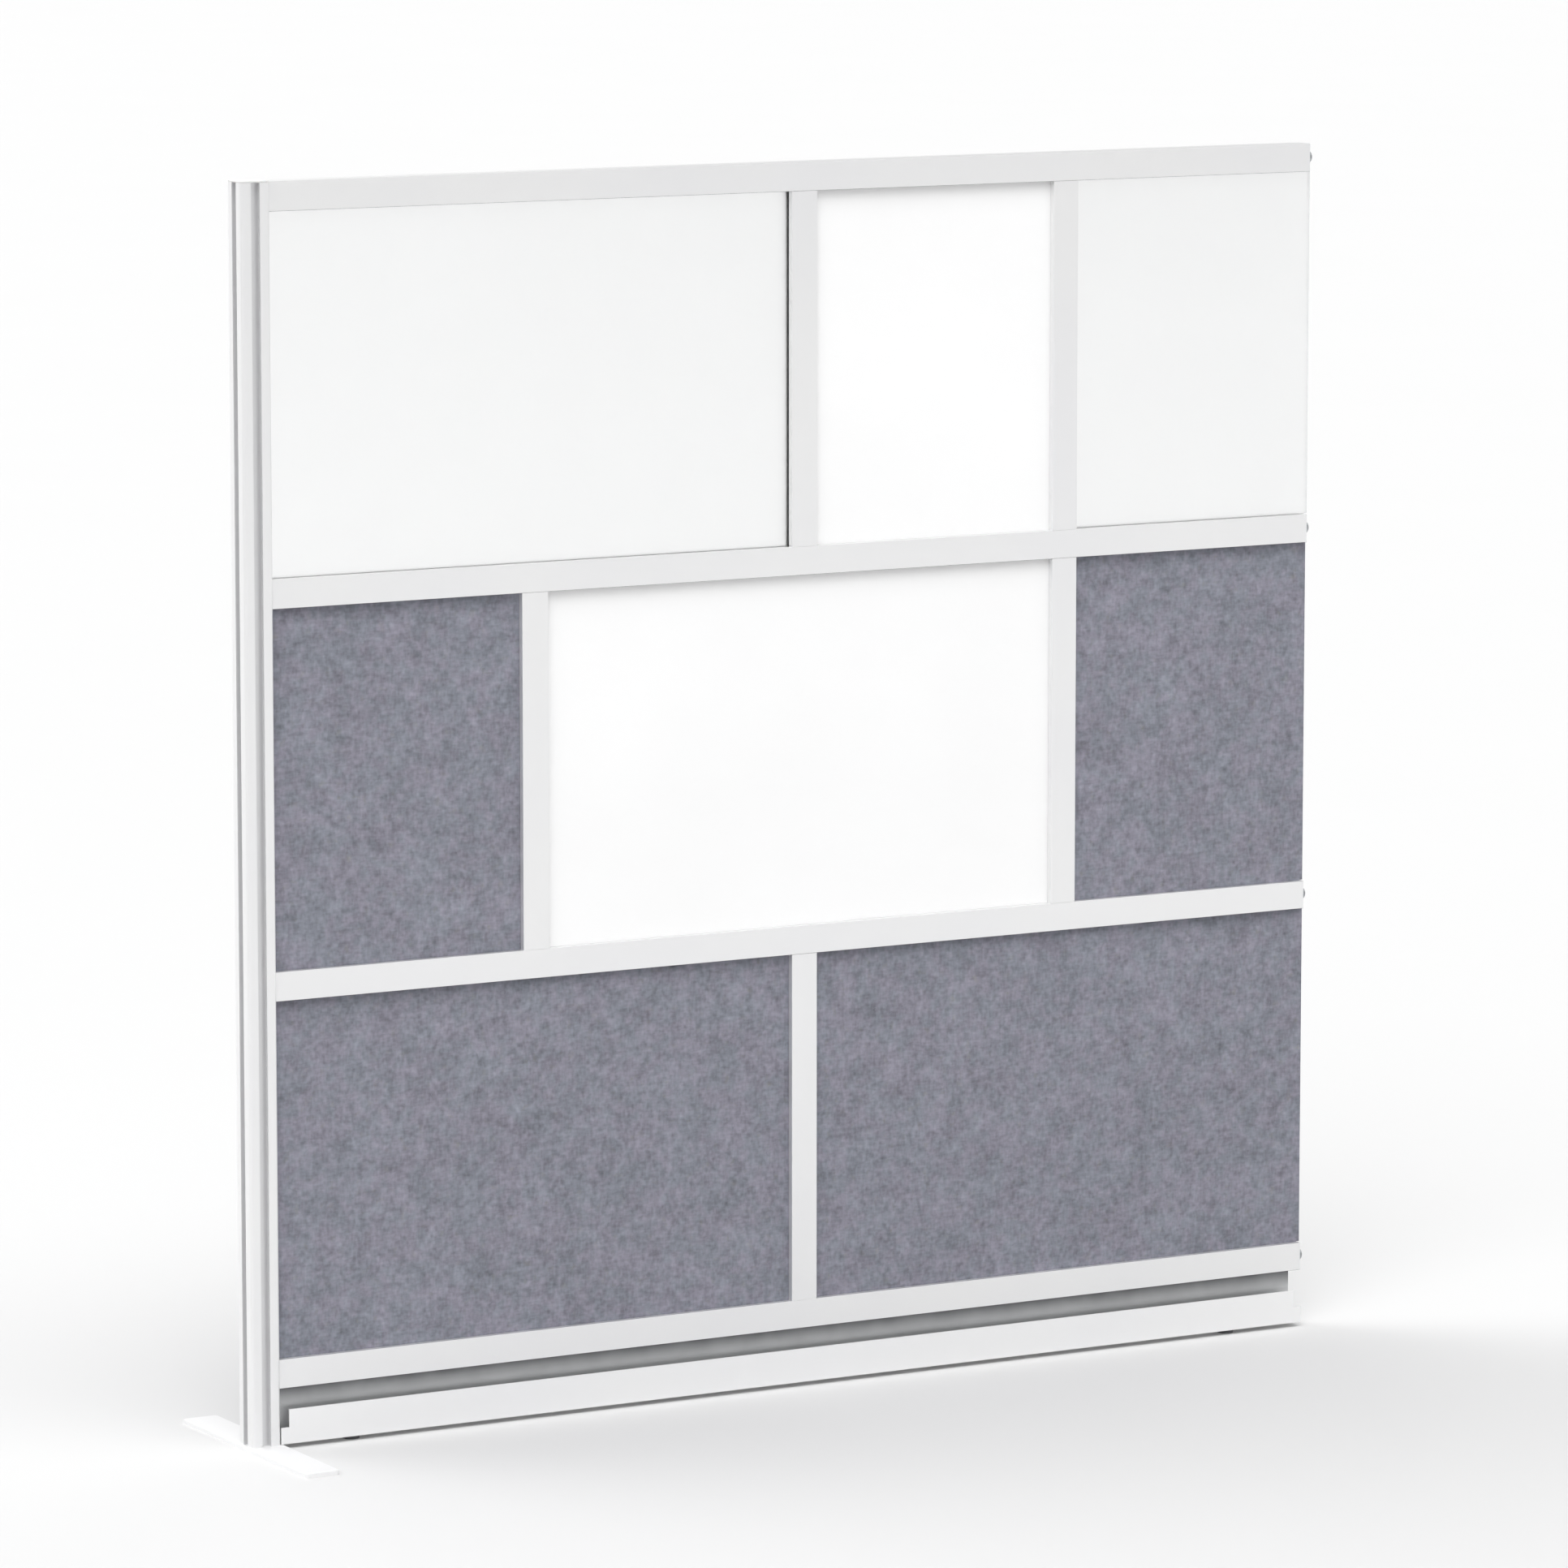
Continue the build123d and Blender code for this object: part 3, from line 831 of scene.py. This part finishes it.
@dataclass
class FeltPanel:
    """A felt board with its needled, slightly wavy faces and eased edges, and tongues at the wall's ends."""

    node: str
    finish: bpy.types.Material
    cell: float = 6.0 * MM
    wave_mm: float = 24.0
    wave_depth: float = 0.25 * MM
    wide_share: float = 0.35
    fine_share: float = 0.15
    ease: float = 0.5 * MM

    def wave(self, x: float, z: float, side: Side) -> float:
        """Say how far the face lies back from flat at a place, never proud of it.

        Args:
            x: The place along the wall.
            z: Its height.
            side: The face.

        Returns:
            The distance.
        """
        wide = noise.noise(Vector((x, side.value, z)) * per_mm(self.wave_mm))
        # Read elsewhere in the noise, so that the fine waves don't follow the wide ones.
        fine = noise.noise(Vector((x, side.value + 7, z)) * per_mm(self.wave_mm / 3))
        return self.wave_depth * (0.5 + self.wide_share * wide + self.fine_share * fine)

    def lines(self, breaks: list[float]) -> list[float]:
        """Space the grid's lines across the board, with one close beside each break of its outline.

        Args:
            breaks: The breaks, from low to high.

        Returns:
            The lines.
        """
        made = [breaks[0]]
        for low, high in zip(breaks, breaks[1:]):
            span = high - low - 2 * self.ease
            count = max(1, round(span / self.cell))
            made += [low + self.ease + span * step / count for step in range(count + 1)] + [high]
        return made

    def grid(self) -> FeltGrid:
        """Lay a grid over the CAD node's outline.

        Returns:
            The grid.
        """
        low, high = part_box(self.node)
        corners = [vertex.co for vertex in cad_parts[self.node].data.vertices]
        xs = sorted({round(corner.x, 6) for corner in corners})
        zs = sorted({round(corner.z, 6) for corner in corners})
        foot = [corner.x for corner in corners if round(corner.z, 6) == zs[0]]
        return FeltGrid(
            xs=self.lines(xs),
            zs=self.lines(zs),
            span=(min(foot), max(foot)),
            rise=(zs[1], zs[-2]),
            face_at={Side.FRONT: low.y, Side.BACK: high.y},
        )

    def point(self, grid: FeltGrid, column: int, row: int, side: Side) -> Triple:
        """Place a point of the board: on the wavy face, or set back at its edge.

        Args:
            grid: The board's grid.
            column: Number of the grid line along the wall.
            row: Number of the grid line upwards.
            side: The face.

        Returns:
            The place.
        """
        inner = all(grid.holds(column - a, row - b) for a, b in product((0, 1), (0, 1)))
        back = self.wave(grid.xs[column], grid.zs[row], side) if inner else self.ease
        return grid.xs[column], grid.face_at[side] - side.value * back, grid.zs[row]

    def build(self) -> None:
        """Make the board as one closed mesh and let it stand for its CAD node."""
        grid = self.grid()
        corners = grid.faces()
        numbers = {corner: number for number, corner in enumerate(dict.fromkeys(chain(*corners)))}
        points = [self.point(grid, *corner) for corner in numbers]
        faces = [[numbers[corner] for corner in face] for face in corners]
        board = make_piece(self.node + "_board", points, faces, self.finish)
        board.data.polygons.foreach_set("use_smooth", [True] * len(faces))
        board.data.update()
        settle(board, "divider", "felt", self.node)


@dataclass
class FeltFuzz:
    """Loose fibres that stand a little off a felt panel's two faces."""

    finish: bpy.types.Material
    density: float = 3500.0
    length: float = 9.0 * MM
    # Drawn several times as thick as a real fibre, so that it shows.
    radius: float = 0.09 * MM
    sides: int = 3
    segments: int = 4
    arch: float = 0.9 * MM
    bow: float = 2.5 * MM
    shortest: float = 0.5
    longest: float = 1.2
    # Fibres keep this far from the frame.
    margin: float = 25.0 * MM
    seed: int = 5

    def fibre(self, tree: GeometryTree) -> bpy.types.Node:
        """Make one bent fibre, lying along X over its middle.

        Args:
            tree: The tree under way.

        Returns:
            The node that ends in its mesh.
        """
        entry = tree.entry
        half = tree.add("ShaderNodeMath", {0: entry["Length"], 1: 0.5}, operation="MULTIPLY")
        away = tree.add("ShaderNodeMath", {0: half, 1: -1.0}, operation="MULTIPLY")
        line = tree.add(
            "GeometryNodeCurveQuadraticBezier",
            {
                "Resolution": self.segments,
                "Start": tree.add("ShaderNodeCombineXYZ", {"X": away}),
                "Middle": tree.add("ShaderNodeCombineXYZ", {"Y": entry["Bow"], "Z": entry["Arch"]}),
                "End": tree.add("ShaderNodeCombineXYZ", {"X": half}),
            },
        )
        section = {"Resolution": self.sides, "Radius": entry["Radius"]}
        ring = tree.add("GeometryNodeCurvePrimitiveCircle", section)
        return tree.add("GeometryNodeCurveToMesh", {"Curve": line, "Profile Curve": ring, "Fill Caps": True})

    def tree(self) -> GeometryTree:
        """Make the tree that scatters bent fibres over the faces that it is given.

        Returns:
            The tree.
        """
        made = GeometryTree("loose_fibres", ["Density", "Length", "Radius", "Arch", "Bow"])
        spots = made.add(
            "GeometryNodeDistributePointsOnFaces",
            {"Mesh": made.entry["Geometry"], "Density": made.entry["Density"], "Seed": self.seed},
        )
        turn = made.add(
            "FunctionNodeRandomValue",
            {"Min": (0, 0, 0), "Max": (0, 0, math.tau), "Seed": self.seed + 1},
            data_type="FLOAT_VECTOR",
        )
        spin = made.add("FunctionNodeEulerToRotation", {"Euler": turn})
        laid = made.add(
            "FunctionNodeRotateRotation",
            {"Rotation": spots.outputs["Rotation"], "Rotate By": spin},
            rotation_space="LOCAL",
        )
        size = made.add(
            "FunctionNodeRandomValue",
            {"Min": self.shortest, "Max": self.longest, "Seed": self.seed + 2},
            data_type="FLOAT",
        )
        fibres = made.add(
            "GeometryNodeInstanceOnPoints",
            {"Points": spots, "Instance": self.fibre(made), "Rotation": laid, "Scale": size},
        )
        made.close(fibres)
        return made

    def faces_of(self, node: str) -> bpy.types.Mesh:
        """Take the open part of a panel's two faces.

        Args:
            node: The panel's CAD node.

        Returns:
            Two rectangles that face outwards, as a mesh.
        """
        low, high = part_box(node)
        left, right = low.x + self.margin, high.x - self.margin
        bottom, top = low.z + self.margin, high.z - self.margin
        corners = [(left, bottom), (right, bottom), (right, top), (left, top)]
        points = [(x, low.y, z) for x, z in corners] + [(x, high.y, z) for x, z in reversed(corners)]
        mesh = bpy.data.meshes.new(node + "_faces")
        mesh.from_pydata(points, [], [(0, 1, 2, 3), (4, 5, 6, 7)])
        return mesh

    def build(self, nodes: tuple[str, ...]) -> None:
        """Scatter the fibres on every panel.

        Args:
            nodes: The felt panels' CAD nodes.
        """
        tree = self.tree()
        values = {
            "Density": self.density,
            "Length": self.length,
            "Radius": self.radius,
            "Arch": self.arch,
            "Bow": self.bow,
            "Finish": self.finish,
        }
        for node in nodes:
            settle(tree.bake(node + "_fuzz", self.faces_of(node), values), "divider", "felt")


@dataclass
class LevellingScrew:
    """The levelling screw of a glide: a hexagon flange and a stem with a real helical thread."""

    node: str
    foot: str
    finish: bpy.types.Material
    stem_radius: float = 3.0 * MM
    stem_sides: int = 40
    pitch: float = 1.0 * MM
    steps_per_pitch: int = 6
    root_share: float = 0.84
    # Over one, so that the flanks reach the full radius early and leave the crest flat.
    flank_slope: float = 1.25
    flange_height: float = 1.9 * MM
    flange_sides: int = 120
    flange_chamfer: float = 0.35 * MM
    # Two of the hexagon's flats lie to the front and the back.
    flange_turn: float = math.pi / 2

    def thread(self, height: float) -> list[float]:
        """Work out the stem's radii at a height above its foot.

        Args:
            height: The height.

        Returns:
            The radius at each side, round the stem.
        """
        radii = []
        for number in range(self.stem_sides):
            phase = (height / self.pitch - number / self.stem_sides) % 1.0
            crest = 1 - abs(2 * phase - 1)
            share = self.root_share + (1 - self.root_share) * min(1.0, crest * self.flank_slope)
            radii.append(self.stem_radius * share)
        return radii

    def hexagon(self, flats: float, inset: float) -> list[float]:
        """Work out the radii of a hexagon, from the middle of a flat.

        Args:
            flats: Its width across flats.
            inset: How far it is drawn in.

        Returns:
            The radius at each side of the flange's fine ring.
        """
        radii = []
        for number in range(self.flange_sides):
            angle = math.tau * number / self.flange_sides
            sector = (angle + math.pi / 6) % (math.pi / 3) - math.pi / 6
            radii.append(min(flats / 2 / math.cos(sector), flats / 2 / math.cos(math.pi / 6)) - inset)
        return radii

    def build(self, body: str) -> None:
        """Make the screw and let it stand for its CAD node.

        Args:
            body: The glide's CAD body.
        """
        low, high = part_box(self.node)
        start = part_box(self.foot)[1].z
        end = start + self.flange_height
        middle, flats = ((low + high) / 2).x, high.y - low.y
        count = int((high.z - low.z) / (self.pitch / self.steps_per_pitch))
        levels = [low.z + (high.z - low.z) * level / count for level in range(count + 1)]
        stem = [(z, self.thread(z - low.z)) for z in levels]
        chamfer = self.flange_chamfer
        wide, narrow = self.hexagon(flats, 0.0), self.hexagon(flats, chamfer)
        flange = [(start, narrow), (start + chamfer, wide), (end - chamfer, wide), (end, narrow)]
        points, faces = [], []
        for rings, turn in ((stem, 0.0), (flange, self.flange_turn)):
            self.stack(points, faces, rings, middle, turn)
        screw = make_piece(self.node + "_threaded", points, faces, self.finish)
        settle(screw, body, "zinc_steel", self.node)

    def stack(self, points: list[Triple], faces: list[list[int]], rings: list[tuple[float, list[float]]],
              middle: float, turn: float) -> None:
        """Add a closed solid that is stacked up from rings about the screw's axis.

        Args:
            points: Points so far, which grow.
            faces: Faces so far, which grow.
            rings: Height of each ring and its radii, from the lowest.
            middle: Where the axis is along the wall.
            turn: Angle of the rings' first radius.
        """
        numbers = []
        for z, radii in rings:
            numbers.append(list(range(len(points), len(points) + len(radii))))
            for number, radius in enumerate(radii):
                angle = math.tau * number / len(radii) + turn
                points.append((middle + radius * math.cos(angle), radius * math.sin(angle), z))
        for one, two in zip(numbers, numbers[1:]):
            turned = zip(one, one[1:] + one[:1], two[1:] + two[:1], two)
            faces += [list(corners) for corners in turned]
        faces.append(numbers[0][::-1])
        faces.append(numbers[-1])


@dataclass(frozen=True)
class SoftLamp:
    """A soft round patch of light on the studio's dome."""

    name: str
    bearing: float
    height: float
    core: float
    edge: float
    strength: float

    def axis(self) -> Triple:
        """Direction of its middle, from bearing (from +X towards +Y) and height, both in degrees."""
        turn, rise = math.radians(self.bearing), math.radians(self.height)
        return math.cos(rise) * math.cos(turn), math.cos(rise) * math.sin(turn), math.sin(rise)


@dataclass
class Studio:
    """Plain pale floor, a white dome with soft lamps on it, and the camera of the photograph."""

    camera_place: Triple = (-4.765, -9.999, 2.5225)
    camera_yaw: float = 29.2874
    camera_dip: float = 8.1366
    lens_mm: float = 184.75
    sensor_mm: float = 36.0
    sight: float = 1000.0
    dome: float = 0.40
    lamps: tuple[SoftLamp, ...] = (
        SoftLamp("high front", bearing=-100.0, height=66.0, core=5.0, edge=22.0, strength=4.0),
        SoftLamp("front left", bearing=-132.0, height=44.0, core=8.0, edge=28.0, strength=2.9),
        SoftLamp("front right", bearing=-45.0, height=42.0, core=8.0, edge=28.0, strength=0.9),
        SoftLamp("back left", bearing=135.0, height=42.0, core=8.0, edge=28.0, strength=2.9),
        SoftLamp("low back", bearing=90.0, height=15.0, core=10.0, edge=34.0, strength=1.2),
        SoftLamp("low right", bearing=30.0, height=15.0, core=10.0, edge=34.0, strength=0.8),
    )
    floor_half: float = 160.0

    def floor(self) -> None:
        """Make the floor."""
        reach = self.floor_half
        corners = [(-reach, -reach, 0), (reach, -reach, 0), (reach, reach, 0), (-reach, reach, 0)]
        floor = make_piece("floor", corners, [(0, 1, 2, 3)], FloorPaint().material())
        floor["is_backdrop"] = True

    def light(self) -> None:
        """Light the scene with a white dome and the soft lamps on it."""
        world = bpy.data.worlds.new("white_dome")
        world.use_nodes = True
        tree = world.node_tree
        way = add(tree, "ShaderNodeTexCoord").outputs["Generated"]
        total = self.dome
        for lamp in self.lamps:
            near = add(tree, "ShaderNodeVectorMath", {0: way, 1: lamp.axis()}, operation="DOT_PRODUCT")
            patch = add(
                tree,
                "ShaderNodeMapRange",
                {
                    "Value": near,
                    "From Min": math.cos(math.radians(lamp.edge)),
                    "From Max": math.cos(math.radians(lamp.core)),
                    "To Max": lamp.strength,
                },
                label=lamp.name,
                interpolation_type="SMOOTHSTEP",
            )
            total = add(tree, "ShaderNodeMath", {0: patch, 1: total}, operation="ADD")
        sky = tree.nodes["Background"]
        sky.inputs["Color"].default_value = (1, 1, 1, 1)
        tree.links.new(total.outputs[0], sky.inputs["Strength"])
        bpy.context.scene.world = world

    def camera(self) -> None:
        """Stand the camera where the photograph was taken from."""
        lens = bpy.data.cameras.new("camera")
        lens.lens = self.lens_mm
        lens.sensor_width = self.sensor_mm
        lens.clip_end = self.sight
        camera = bpy.data.objects.new("camera", lens)
        camera.location = self.camera_place
        camera.rotation_euler = (math.radians(90 - self.camera_dip), 0, -math.radians(self.camera_yaw))
        bpy.context.scene.collection.objects.link(camera)
        bpy.context.scene.camera = camera

    def build(self) -> None:
        """Make the whole studio."""
        self.camera()
        self.floor()
        self.light()
        bpy.context.scene.view_settings.view_transform = "Standard"


@dataclass
class Post:
    """The slotted post with its cap, and the foot plate with its screws."""

    zinc: bpy.types.Material
    # The slots' insides start this far behind the post's faces.
    face_depth: float = 1.5 * MM

    def build(self) -> None:
        """Dress the post and its foot."""
        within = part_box("post")[1].x - self.face_depth
        # The slots' insides get painted shade.
        upright = SatinAnodised("satin_anodised_post", run=Run.UPRIGHT, slots_within=within)
        dress(["post"], upright.material())
        nylon = MouldedPlastic("white_nylon", "#E9E9E8", "#E5E5E4", (0.45, 0.55), depth=0.05)
        dress(["post_top_cap"], nylon.material())
        coat = PowderCoat("white_powder_coat_on_foot", "#F1F1F1", "#EEEEEF", (0.37, 0.44))
        dress(["foot_plate"], coat.material())
        dress(["foot_screws"], self.zinc)


@dataclass
class Lattice:
    """The rails and mullions that hold the infills, with the joints, end inserts and studs in them."""

    zinc: bpy.types.Material
    rails: tuple[str, ...] = ("bottom_rail", "lower_rail", "upper_rail", "top_rail")
    mullions: tuple[str, ...] = (
        "bottom_mullion",
        "middle_left_mullion",
        "middle_right_mullion",
        "top_left_mullion",
        "top_right_mullion",
    )

    def build(self) -> None:
        """Dress the bars and what joins them."""
        wall_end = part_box("top_rail")[1].x
        # The rails' faces that look down get painted shade.
        level = SatinAnodised("satin_anodised_rails", run=Run.LEVEL, saw_cut_at=wall_end, painted_shade_below=True)
        dress(self.rails, level.material())
        dress(self.mullions, SatinAnodised("satin_anodised_uprights", run=Run.UPRIGHT).material())
        nylon = MouldedPlastic("black_nylon", "#232325", "#2B2B2D", (0.5, 0.6))
        dress(["joint_blocks"], nylon.material())
        cast = DrawnMetal("cast_aluminium", "#B4B5B7", "#9C9DA0", (0.44, 0.58), grain_mm=(2.0, 2.0, 2.0))
        dress(["left_end_inserts", "right_end_inserts"], cast.material())
        dress(["left_studs", "right_studs", "joint_screws"], self.zinc)


@dataclass
class Infills:
    """The sheets in the lattice: whiteboards, frosted panes with their gaskets, and felt boards."""

    whiteboards: tuple[str, ...] = ("wide_whiteboard", "upper_whiteboard")
    panes: tuple[str, ...] = ("frosted_panel_left", "frosted_panel_right")
    felt_panels: tuple[str, ...] = (
        "felt_panel_bottom_left",
        "felt_panel_bottom_right",
        "felt_panel_middle_left",
        "felt_panel_middle_right",
    )

    def build(self) -> None:
        """Dress the hard sheets, and make the felt boards with their loose fibres."""
        dress([board + "_skins" for board in self.whiteboards], MarkerBoardSteel().material())
        dress([board + "_core" for board in self.whiteboards], PressedFibreBoard().material())
        dress(self.panes, FrostedAcrylic().material())
        vinyl = MouldedPlastic("white_vinyl", "#DFDEDA", "#D8D7D3", (0.55, 0.65), grain_mm=1.5)
        dress([pane + "_gaskets" for pane in self.panes], vinyl.material())
        felt = HeatherFelt().material()
        dress(self.felt_panels, felt)
        for node in self.felt_panels:
            FeltPanel(node, felt).build()
        fibre = MouldedPlastic("felt_fibre", "#A9AAB4", "#77788A", (0.75, 0.85), grain_mm=4.0)
        FeltFuzz(fibre.material()).build(self.felt_panels)


@dataclass
class Raceway:
    """The base under the wall: the web, the folded trough and the two levelling glides."""

    zinc: bpy.types.Material
    glides: tuple[str, ...] = ("left_glide", "right_glide")
    # The web's painted shade is darkest under the rail and is gone from this far above the trough's walls
    # downwards.
    shade_fade_reach: float = 4.0 * MM

    def build(self) -> None:
        """Dress the web and the trough, and make the glides' threaded screws."""
        rail_bottom, trough_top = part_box("bottom_rail")[0].z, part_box("base_trough")[1].z
        web = GreyWeb(shade_darkest_above=rail_bottom, shade_gone_below=trough_top + self.shade_fade_reach)
        dress(["base_web"], web.material())
        # Painted light: paler tones than the rails' same finish make up for the dimmer, shaded floor that
        # the trough mirrors.
        trough = SatinAnodised("satin_anodised_trough", colour="#FEFEFE", shade="#FCFCFD", run=Run.LEVEL)
        dress(["base_trough"], trough.material())
        dress(["web_screws", "trough_screws", "glide_nuts"], self.zinc)
        nylon = MouldedPlastic("grey_nylon", "#5A5B5D", "#636466", (0.45, 0.55))
        dress([glide + "_foot" for glide in self.glides], nylon.material())
        dress([glide + "_screw" for glide in self.glides], self.zinc)
        for glide in self.glides:
            LevellingScrew(glide + "_screw", glide + "_foot", self.zinc).build(glide)


def write_sizes() -> None:
    """Work out the CAD model's box and the visual model's box, which are not kept."""
    boxes = {"cad": cad_box, "visual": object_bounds()}
    {name: [list(corner) for corner in box] for name, box in boxes.items()}


def main() -> None:
    """Build the studio and the divider's sub-assemblies in order."""
    logging.basicConfig(level=logging.INFO, format="%(message)s")
    zinc = DrawnMetal("zinc_plated_steel", "#BCBEC1", "#9FA1A5", (0.30, 0.44)).material()
    for assembly in (Studio(), Post(zinc), Lattice(zinc), Infills(), Raceway(zinc)):
        assembly.build()
    write_sizes()


if __name__ == "__main__":
    main()
